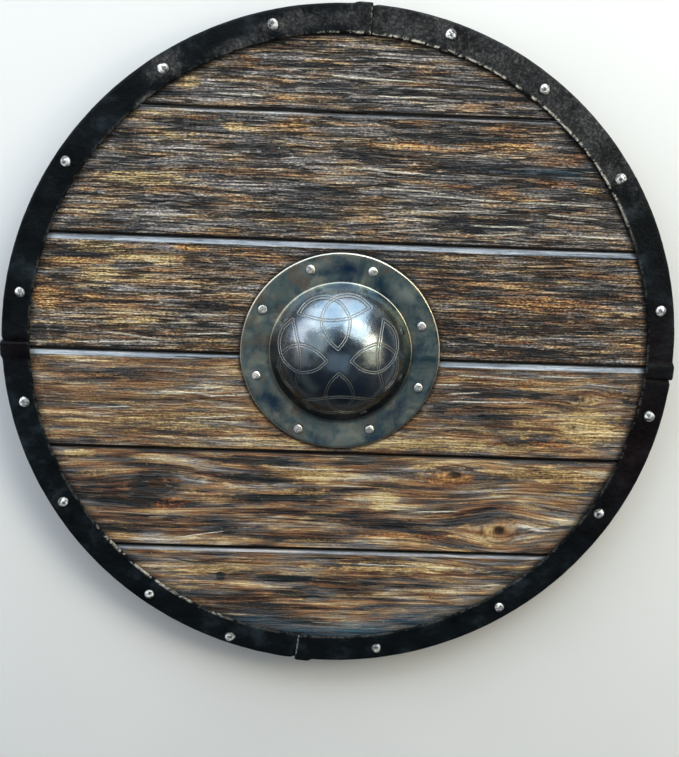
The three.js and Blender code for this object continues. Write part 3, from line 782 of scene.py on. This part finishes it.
def leather_strip(number):
    """A strip of U section, which starts on top of the last strip's end and ends under the next."""
    start = STRIP_STARTS[number]
    end = STRIP_STARTS[(number + 1) % len(STRIP_STARTS)]
    sweep = (end - start) % 360
    per_degree = math.pi * RIM_RADIUS / 180
    length = sweep * per_degree + LAP_LENGTH
    along = np.unique(np.concatenate([
        np.arange(0, length, 2.0), np.linspace(0, 2, 5), np.linspace(length - 1, length, 3),
    ]))
    angle = np.radians(start) + along / RIM_RADIUS
    over = 1 - fade(LAP_LENGTH, LAP_LENGTH + LAP_RAMP, along)
    under = fade(length - LAP_LENGTH - LAP_RAMP, length - LAP_LENGTH, along)
    lift = over * (PARED_THICKNESS + CLEARANCE)
    thin = under * (LEATHER_THICKNESS - PARED_THICKNESS)
    rounded_start = 0.9 * fade(1.4, 0, along)

    corner = np.radians(np.linspace(90, 0, 6))
    folded = [(FOLD_RADIUS * (1 - math.cos(turn)), FOLD_RADIUS * (1 - math.sin(turn))) for turn in corner]
    wall = BOARD_RADIUS + CLEARANCE
    inside_front = BOARD_FRONT + CLEARANCE
    inside_back = BOARD_BACK - CLEARANCE
    front_inner = RIM_RADIUS - RIM_FRONT_WIDTH
    back_inner = RIM_RADIUS - RIM_BACK_WIDTH
    rows = []
    for turn, up, down, round_off in zip(angle, lift, thin, rounded_start):
        outer = RIM_RADIUS + up - down - round_off * 0.5
        front = LEATHER_FRONT + up - down - round_off
        back = LEATHER_BACK - up + down + round_off
        waver = 0.7 * (smooth_noise(np.array([turn * 9]), np.array([1.0]), 5)[0] - 0.5)
        waver += 0.5 * (smooth_noise(np.array([turn * 40]), np.array([2.0]), 6)[0] - 0.5)
        cut = front_inner + waver
        rows.append([
            (cut + 0.1, inside_front + up), (wall + up, inside_front + up),
            (wall + up, inside_back - up), (back_inner, inside_back - up),
            (back_inner - 0.1, back + 0.5), (back_inner + 0.5, back),
            *[(r, back) for r in np.linspace(back_inner + 3, outer - FOLD_RADIUS, 8)],
            *[(outer - inwards, back + rise) for inwards, rise in folded[1:]],
            *[(outer, z) for z in np.linspace(back + FOLD_RADIUS, front - FOLD_RADIUS, 7)[1:-1]],
            *[(outer - inwards, front - rise) for inwards, rise in folded[::-1]],
            *[(r, front) for r in np.linspace(outer - FOLD_RADIUS, cut + 1.4, 24)[1:]],
            (cut + 0.7, front - 0.12), (cut + 0.2, front - 0.5), (cut, front - 1.0),
        ])
    radius, height = np.moveaxis(np.array(rows), -1, 0)
    turns = np.repeat(angle[:, None], radius.shape[1], 1)
    arc = turns * RIM_RADIUS

    # An uneven outside, sunk under each rivet
    outside = (height > LEATHER_FRONT - 1.6 - thin[:, None]) | (radius > RIM_RADIUS - 0.6 - thin[:, None])
    dimple = 0
    for bearing, stray in RIM_RIVETS:
        aside = arc - math.radians(bearing if bearing > start - 2 else bearing + 360) * RIM_RADIUS
        out = radius - RIM_RIVET_CIRCLE - stray
        dimple = dimple + np.exp(-(aside ** 2 + out ** 2) / 60)
    rough = layered_noise(arc / 9, radius / 7, 210 + number, 3) - 0.5
    height = height + np.where(outside & (radius < RIM_RADIUS - 1), 0.45 * rough - 0.35 * dimple, 0)
    radius = radius + np.where(outside & (radius > RIM_RADIUS - 3), 0.5 * rough, 0)
    points = np.stack([radius * np.cos(turns), radius * np.sin(turns), height], -1)

    # Rubbed and reddish places as bearing, radius, half lengths and strength, and the pale cut edge
    degrees = np.degrees(turns) % 360
    upper_right = sector(degrees, 14, 44, 84, 100)
    patches = blots(degrees, radius, [
        (123, 293, 4, 15, 1.0), (110, 285, 9, 7, 0.8), (129, 281, 3, 4, 1.0), (100, 292, 9, 13, 0.85),
        (91, 292, 7, 12, 0.75), (150, 300, 14, 8, 0.3), (215, 300, 12, 4, 0.4),
    ])
    worn = np.maximum(0.75 * upper_right, patches)
    warm = blots(degrees, radius, [(345, 290, 14, 30, 0.9), (181, 292, 3, 12, 0.8), (2, 290, 9, 20, 0.7)])
    cut_edge = fade(front_inner + 2.4, front_inner + 0.9, radius) * (height > BOARD_FRONT + 0.8)
    frayed = np.maximum(sector(degrees, 22, 36, 84, 100), 0.6 * sector(degrees, 216, 224, 244, 252))
    cut_edge = cut_edge * (0.06 + 0.94 * frayed)
    cut_edge = np.maximum(cut_edge, (0.3 if number in (0, 2) else 0) * (arc - arc[0] < 1.2))
    attributes = [("place", points), ("wear_and_painted_light", (worn, warm, cut_edge))]
    name = f"rim_strip_{number + 1}"
    skin(f"{name}_leather", points, LEATHER, [name], attributes, sharp=50)


for number in range(len(STRIP_STARTS)):
    leather_strip(number)


# Boss

# Blued and polished places on the flange as bearing, radius, half length in degrees, half width, strength
BLUED = [
    (88, 77, 13, 6, 1), (177, 77, 10, 6, 0.7), (220, 76, 13, 8, 0.9), (314, 75, 12, 7, 0.8),
    (262, 84, 12, 4, 0.4), (24, 72, 10, 5, 0.4),
]
POLISHED = [
    (46, 80, 9, 6, 0.6), (110, 82, 12, 4, 0.4), (4, 79, 14, 8, 0.4), (274, 80, 16, 7, 0.5),
    (200, 82, 8, 5, 0.4), (340, 84, 10, 4, 0.4),
]


def curve_points(corners, count):
    """A smooth curve through points, as count + 1 points."""
    knots = [Vector(corner) for corner in corners]
    found = []
    for place in np.linspace(0, len(knots) - 1, count + 1):
        section = min(int(place), len(knots) - 2)
        share = place - section
        first, second = knots[section], knots[section + 1]
        before = knots[section - 1] if section > 0 else first
        after = knots[section + 2] if section + 2 < len(knots) else second
        leave, arrive = (second - before) / 2, (after - first) / 2
        found.append((
            (2 * share ** 3 - 3 * share ** 2 + 1) * first + (share ** 3 - 2 * share ** 2 + share) * leave
            + (3 * share ** 2 - 2 * share ** 3) * second + (share ** 3 - share ** 2) * arrive
        ))
    return np.array(found)


def knot_paths():
    """Each knot's line in three open parts, one around each corner, so that crossing parts differ."""
    strand = curve_points(STRAND_PATH, 60)
    crossbar = curve_points([OUTER_TIP, CROSSBAR_MIDDLE, (OUTER_TIP[0], -OUTER_TIP[1])], 40)
    mirror = np.array([1, -1])
    upper = np.concatenate([crossbar[:21][::-1], strand[1:37]])
    lower = np.concatenate([crossbar[20:], strand[1:26] * mirror])
    inner = np.concatenate([strand[35:], (strand[24:-1] * mirror)[::-1]])
    return [upper, lower, inner]


def line_distance(x, y, path):
    """Distance of points from an open path in millimetres, and FAR where they lie past its ends."""
    best = np.full(x.shape, FAR)
    for piece, ((ax, ay), (bx, by)) in enumerate(zip(path[:-1], path[1:])):
        near = (np.abs(x - ax) < 5) & (np.abs(y - ay) < 5)
        if not near.any():
            continue
        px, py = x[near] - ax, y[near] - ay
        dx, dy = bx - ax, by - ay
        share = (px * dx + py * dy) / (dx * dx + dy * dy)
        held = np.clip(share, 0, 1)
        away = np.hypot(px - held * dx, py - held * dy)
        if piece == 0:
            away = np.where(share < 0, FAR, away)
        if piece == len(path) - 2:
            away = np.where(share > 1, FAR, away)
        best[near] = np.minimum(best[near], away)
    return best


def ball_arc(radius, turns):
    """Points down the crown's ball or its inside, as radius and height."""
    return [(radius * math.sin(turn), CROWN_CENTRE + radius * math.cos(turn)) for turn in turns]


def boss():
    """The dome, flange and hollow as rings around the middle, with the lines cut into the crown."""
    crown_turn = math.asin(CROWN_EDGE / CROWN_RADIUS)
    profile = ball_arc(CROWN_RADIUS, np.linspace(0.004, crown_turn, 112))
    crown_rings = len(profile)
    profile += DOME_FOOT + [(r, FLANGE_FRONT) for r in np.linspace(67, 89.2, 14)] + FLANGE_EDGE
    front_rings = len(profile)
    profile += [(r, FLANGE_BACK) for r in (84, 76, 68, 63)]
    profile += ball_arc(CROWN_RADIUS - SHEET, np.linspace(crown_turn, 0.01, 18))
    radius, height, angle = turned(profile, BOSS_SEGMENTS)
    on_front = np.zeros(radius.shape)
    on_front[:front_rings] = 1

    # The uneven flange and its edge
    x, y = radius * np.cos(angle), radius * np.sin(angle)
    wave = FLANGE_WAVE * (layered_noise(x / 30, y / 30, 300, 2) - 0.5)
    height = height + wave * fade(66, 72, radius) * on_front * fade(FLANGE_RADIUS, 84, radius)
    edge_wave = 0.5 * (smooth_noise(angle * 4, angle * 0, 310) - 0.5)
    radius = radius + np.where(radius > 85, edge_wave, 0)
    x, y = radius * np.cos(angle), radius * np.sin(angle)

    # The crown, dented and with each part of each knot's line cut in
    dented = DENT_DEPTH * (layered_noise(x / 16, y / 16, 320, 2) - 0.5)
    lines = np.full(x.shape + (3,), FAR)
    crown = slice(0, crown_rings)
    for number, own_turn in enumerate(KNOT_TURNS):
        turned_by = math.radians(own_turn + 90 * number)
        cosine, sine = math.cos(turned_by), math.sin(turned_by)
        spin = np.array([[cosine, sine], [-sine, cosine]])
        for part, path in enumerate(knot_paths()):
            placed = path * DOME_FOOT_RADIUS @ spin + np.array(KNOT_OFFSET)
            distance = line_distance(x[crown], y[crown], placed)
            lines[crown, :, part] = np.minimum(lines[crown, :, part], distance)
    groove = np.exp(-((lines - LINE_OFFSET) / LINE_HALF_WIDTH) ** 2).max(-1)
    sink = LINE_DEPTH * groove - dented * on_front
    on_crown = radius < CROWN_EDGE + 0.1
    slope = np.where(on_crown, radius / CROWN_RADIUS, 0)
    outwards = np.stack([slope * np.cos(angle), slope * np.sin(angle), np.sqrt(1 - slope ** 2)], -1)
    sink = np.where(on_crown, sink, 0) * on_front * fade(62.2, 58, radius)
    points = np.stack([x, y, height], -1) - outwards * sink[..., None]

    # A pale flange edge and a painted highlight around the dome's foot, and painted shade around the foot's
    # lower part and on the dome's low side
    edge = fade(89.0, 89.8, radius) * on_front * 0.9
    foot = np.exp(-((radius - 64.2) / 0.9) ** 2) * on_front * 0.35
    dome_shade = np.exp(-((radius - 65.5) / 2.0) ** 2) * fade(40, 10, y) * on_front * 0.5
    low_side_shade = 0.8 * fade(8, -34, y + 0.25 * x) * fade(66, 62, radius) * on_front
    dome_shade = np.maximum(dome_shade, low_side_shade)
    bearing = np.degrees(angle)
    attributes = [
        ("stain", (blots(bearing, radius, BLUED), blots(bearing, radius, POLISHED), 0 * radius)),
        ("place", points),
        ("lines", lines),
        ("wear_and_painted_light", (np.maximum(edge, foot), fade(65, 62, radius) * on_front, dome_shade)),
    ]
    skin("boss_shell", points, boss_steel(), ["boss"], attributes, sharp=60)


boss()


# Rivets and nails

def turned_piece(profile, segments):
    """Points of a profile from axis to axis, turned around Z."""
    radius, height, angle = turned(profile, segments)
    return np.stack([radius * np.cos(angle), radius * np.sin(angle), height], -1)


def beaten_rivet(node, x, y, front, back, radius, rise, blows, pit, seed, material):
    """A rivet with a beaten head on its front level and a rove with the peened end behind.

    Each blow leaves a flat, and pit is how deep the dent in the head is and how dark its painted shade is.
    """
    random = np.random.default_rng(seed)
    low = front + CLEARANCE
    bow = [(radius * math.sin(t), low + rise * math.cos(t)) for t in np.linspace(0.05, 1.5, HEAD_RINGS - 1)]
    stem = [(radius, front + 0.1), (SHANK_RADIUS, front + 0.1), (SHANK_RADIUS, back - CLEARANCE)]
    rove = [(out, back - down) for out, down in ROVE]
    points = turned_piece(bow + stem + rove, RIVET_SEGMENTS)
    head = points[:HEAD_RINGS].copy()
    out = random.uniform(0.92 - 0.16 * pit, 1.04, HEAD_LOBES)
    bearing = np.linspace(0, HEAD_LOBES, RIVET_SEGMENTS, endpoint=False)
    lobes = np.interp(bearing, np.arange(HEAD_LOBES + 1), np.append(out, out[0]))
    head[..., :2] *= lobes[None, :, None]
    for _ in range(blows):
        aim = random.uniform(0, 2 * math.pi)
        lean = random.uniform(0.1, 0.55)
        normal = np.array([math.cos(aim) * math.sin(lean), math.sin(aim) * math.sin(lean), math.cos(lean)])
        foot = np.array([0, 0, low + rise * random.uniform(0.72, 0.9)])
        over = np.maximum((head - foot) @ normal, 0)
        head -= over[..., None] * np.array([0, 0, 1])
    spot = random.uniform(-0.25, 0.25, 2) * radius
    away = np.hypot(head[..., 0] - spot[0], head[..., 1] - spot[1])
    hollow_and_shade = fade(0.46 * radius, 0.2 * radius, away) * pit
    head[..., 2] -= 0.9 * hollow_and_shade
    head[..., 2] = np.maximum(head[..., 2], front + 0.12)
    points[:HEAD_RINGS] = head

    # Painted shade in the pit, around the foot, on the low side and in a crescent beside the pit
    shade = np.zeros(points.shape[:2])
    lean_x, lean_y = math.cos(seed * 2.4), math.sin(seed * 2.4)
    aside = (head[..., 0] * lean_x + head[..., 1] * lean_y) / radius
    skirt = fade(0.78, 0.95, np.hypot(head[..., 0], head[..., 1]) / radius / lobes)
    crescent = fade(0.35, 0.5, aside) * fade(0.85, 0.75, aside) * pit
    low_side_shade = 0.75 * fade(0.25, 0.9, (0.35 * head[..., 0] - 0.94 * head[..., 1]) / radius)
    shade[:HEAD_RINGS] = np.maximum.reduce([hollow_and_shade, 0.9 * skirt, crescent, low_side_shade])
    points = points + np.array([x, y, 0])
    attributes = [("place", points), ("wear_and_painted_light", (shade, shade, shade))]
    skin(f"{node}_beaten", points, material, [node], attributes, sharp=28)


def rivet_circle(nodes, places, circle, first_seed, **look):
    """Rivets around a circle, numbered from 1."""
    for number, (degrees, stray) in enumerate(places):
        turn = math.radians(degrees)
        reach = circle + stray
        x, y = reach * math.cos(turn), reach * math.sin(turn)
        beaten_rivet(nodes.format(number + 1), x, y, seed=first_seed + number, **look)


rivet_circle(
    "rim_rivet_{:02d}", RIM_RIVETS, RIM_RIVET_CIRCLE, 500,
    front=LEATHER_FRONT, back=LEATHER_BACK, radius=5.3, rise=2.7, blows=6, pit=0.8,
    material=hammered("rivet_bright", (254, 255, 254), (112, 116, 120), 0.28, 0.3),
)
rivet_circle(
    "boss_rivet_{}", BOSS_RIVETS, BOSS_RIVET_CIRCLE, 600,
    front=FLANGE_FRONT, back=BOARD_BACK, radius=4.9, rise=2.6, blows=1, pit=0.0,
    material=hammered("rivet_dull", (248, 246, 240), (192, 190, 184), 0.24, 0.8),
)

IRON = hammered("nail_iron", (86, 82, 78), (38, 36, 34), 0.5, 0.75)


def bar_back(y):
    """Height of the grip bar's back, which rises towards both ends."""
    into = max(0, abs(y) - (BAR_END - BAR_TAPER))
    return into / BAR_TAPER * (BAR_THICKNESS - BAR_END_THICKNESS)


def nail_places():
    """Height of each plank's nail, in the middle of what the grip bar covers of it beside the hole."""
    inside, outside = HAND_HOLE_RADIUS, BAR_END
    places = []
    for number in range(len(SEAMS) + 1):
        low, high = plank_edges(number)
        above = (max(low, inside), min(high, outside))
        below = (max(low, -outside), min(high, -inside))
        chosen = above if above[1] - above[0] > below[1] - below[0] else below
        places.append(sum(chosen) / 2)
    return places


for number, y in enumerate(nail_places()):
    back = bar_back(y) + NAIL_SINK
    points = turned_piece([(out, back + up) for out, up in NAIL_HEAD] + NAIL_END, 20)
    dents = layered_noise(points[..., 0] / 1.4 + 9 * number, points[..., 1] / 1.4, 700 + number, 2) - 0.5
    points[:4, :, 2] += 0.35 * (dents[:4] + 0.5)  # the four rings of the head's face
    points = points + np.array([0, y, 0])
    attributes = [("place", points), ("wear_and_painted_light", 0 * points)]
    name = f"grip_nail_{number + 1}"
    skin(f"{name}_forged", points, IRON, [name], attributes)


# Grip bar

def grip_bar():
    """A squared bar that thins towards its ends, with a rounder handle behind the boss."""
    handle_end = HAND_HOLE_RADIUS - 10
    stations = np.unique(np.concatenate([np.arange(-BAR_END + 1, BAR_END, 2.5), [-BAR_END, BAR_END]]))
    around = np.linspace(0, 2 * math.pi, 56, endpoint=False)
    rows = []
    for y in stations:
        handle = float(fade(handle_end, handle_end - 10, abs(y)))
        half = (BAR_WIDTH + (HANDLE_WIDTH - BAR_WIDTH) * handle) / 2
        back = bar_back(y)
        front = BAR_THICKNESS + HANDLE_RISE * handle
        roundness = 0.22 + 0.38 * handle
        end = float(fade(BAR_END, BAR_END - 3, abs(y)))
        half -= 1.5 * (1 - end)
        tall = (front - back) / 2 - 1.0 * (1 - end)
        across = np.sign(np.cos(around)) * np.abs(np.cos(around)) ** roundness * half
        up = np.sign(np.sin(around)) * np.abs(np.sin(around)) ** roundness * tall
        rows.append(np.stack([across, np.full_like(across, y), (front + back) / 2 + up], -1))
    points = np.array(rows)
    flow = layered_noise(points[..., 1] / 60, (points[..., 0] + points[..., 2]) / 3, 800, 3)
    centre = points.mean(1, keepdims=True)
    inward = centre - points
    inward /= np.linalg.norm(inward, axis=-1, keepdims=True)
    points = points + inward * (0.4 * flow)[..., None]
    x, y, z = np.moveaxis(points, -1, 0)
    hand = np.exp(-(y / 45) ** 2)
    attributes = [
        ("grain", (y, x * 1.2 + z * 0.4, z / 4)),
        ("patches", (0.3 + 0.2 * hand, 0.45 + 0 * hand, 0.35 * hand)),
        ("marks", 0 * points),
        ("tints", 0 * points),
    ]
    material = wood("wood_grip", 0.56, -0.1, 1, 1, 9)
    skin("grip_bar_wood", points, material, ["grip_bar"], attributes)


grip_bar()


# Floor

def floor():
    """Pale plaster, a set piece that isn't part of the shield."""
    s = Surface("floor_plaster")
    place = s.node("ShaderNodeTexCoord", output="Object")
    cloud = s.noise(place, 1 / 3, 3)
    colour = s.ramp(cloud, [(0.3, (236, 236, 235)), (0.7, (243, 243, 242))])
    material = s.finish(Base_Color=colour, Roughness=0.9, Specular_IOR_Level=0.2)
    grid = np.linspace(-4, 4, 9)
    points = [(x, y, 0) for y in grid for x in grid]
    mesh = bpy.data.meshes.new("floor")
    mesh.from_pydata(points, [], ring_faces(len(grid), len(grid), wrap=False))
    mesh.materials.append(material)
    piece = put("floor", mesh)


floor()
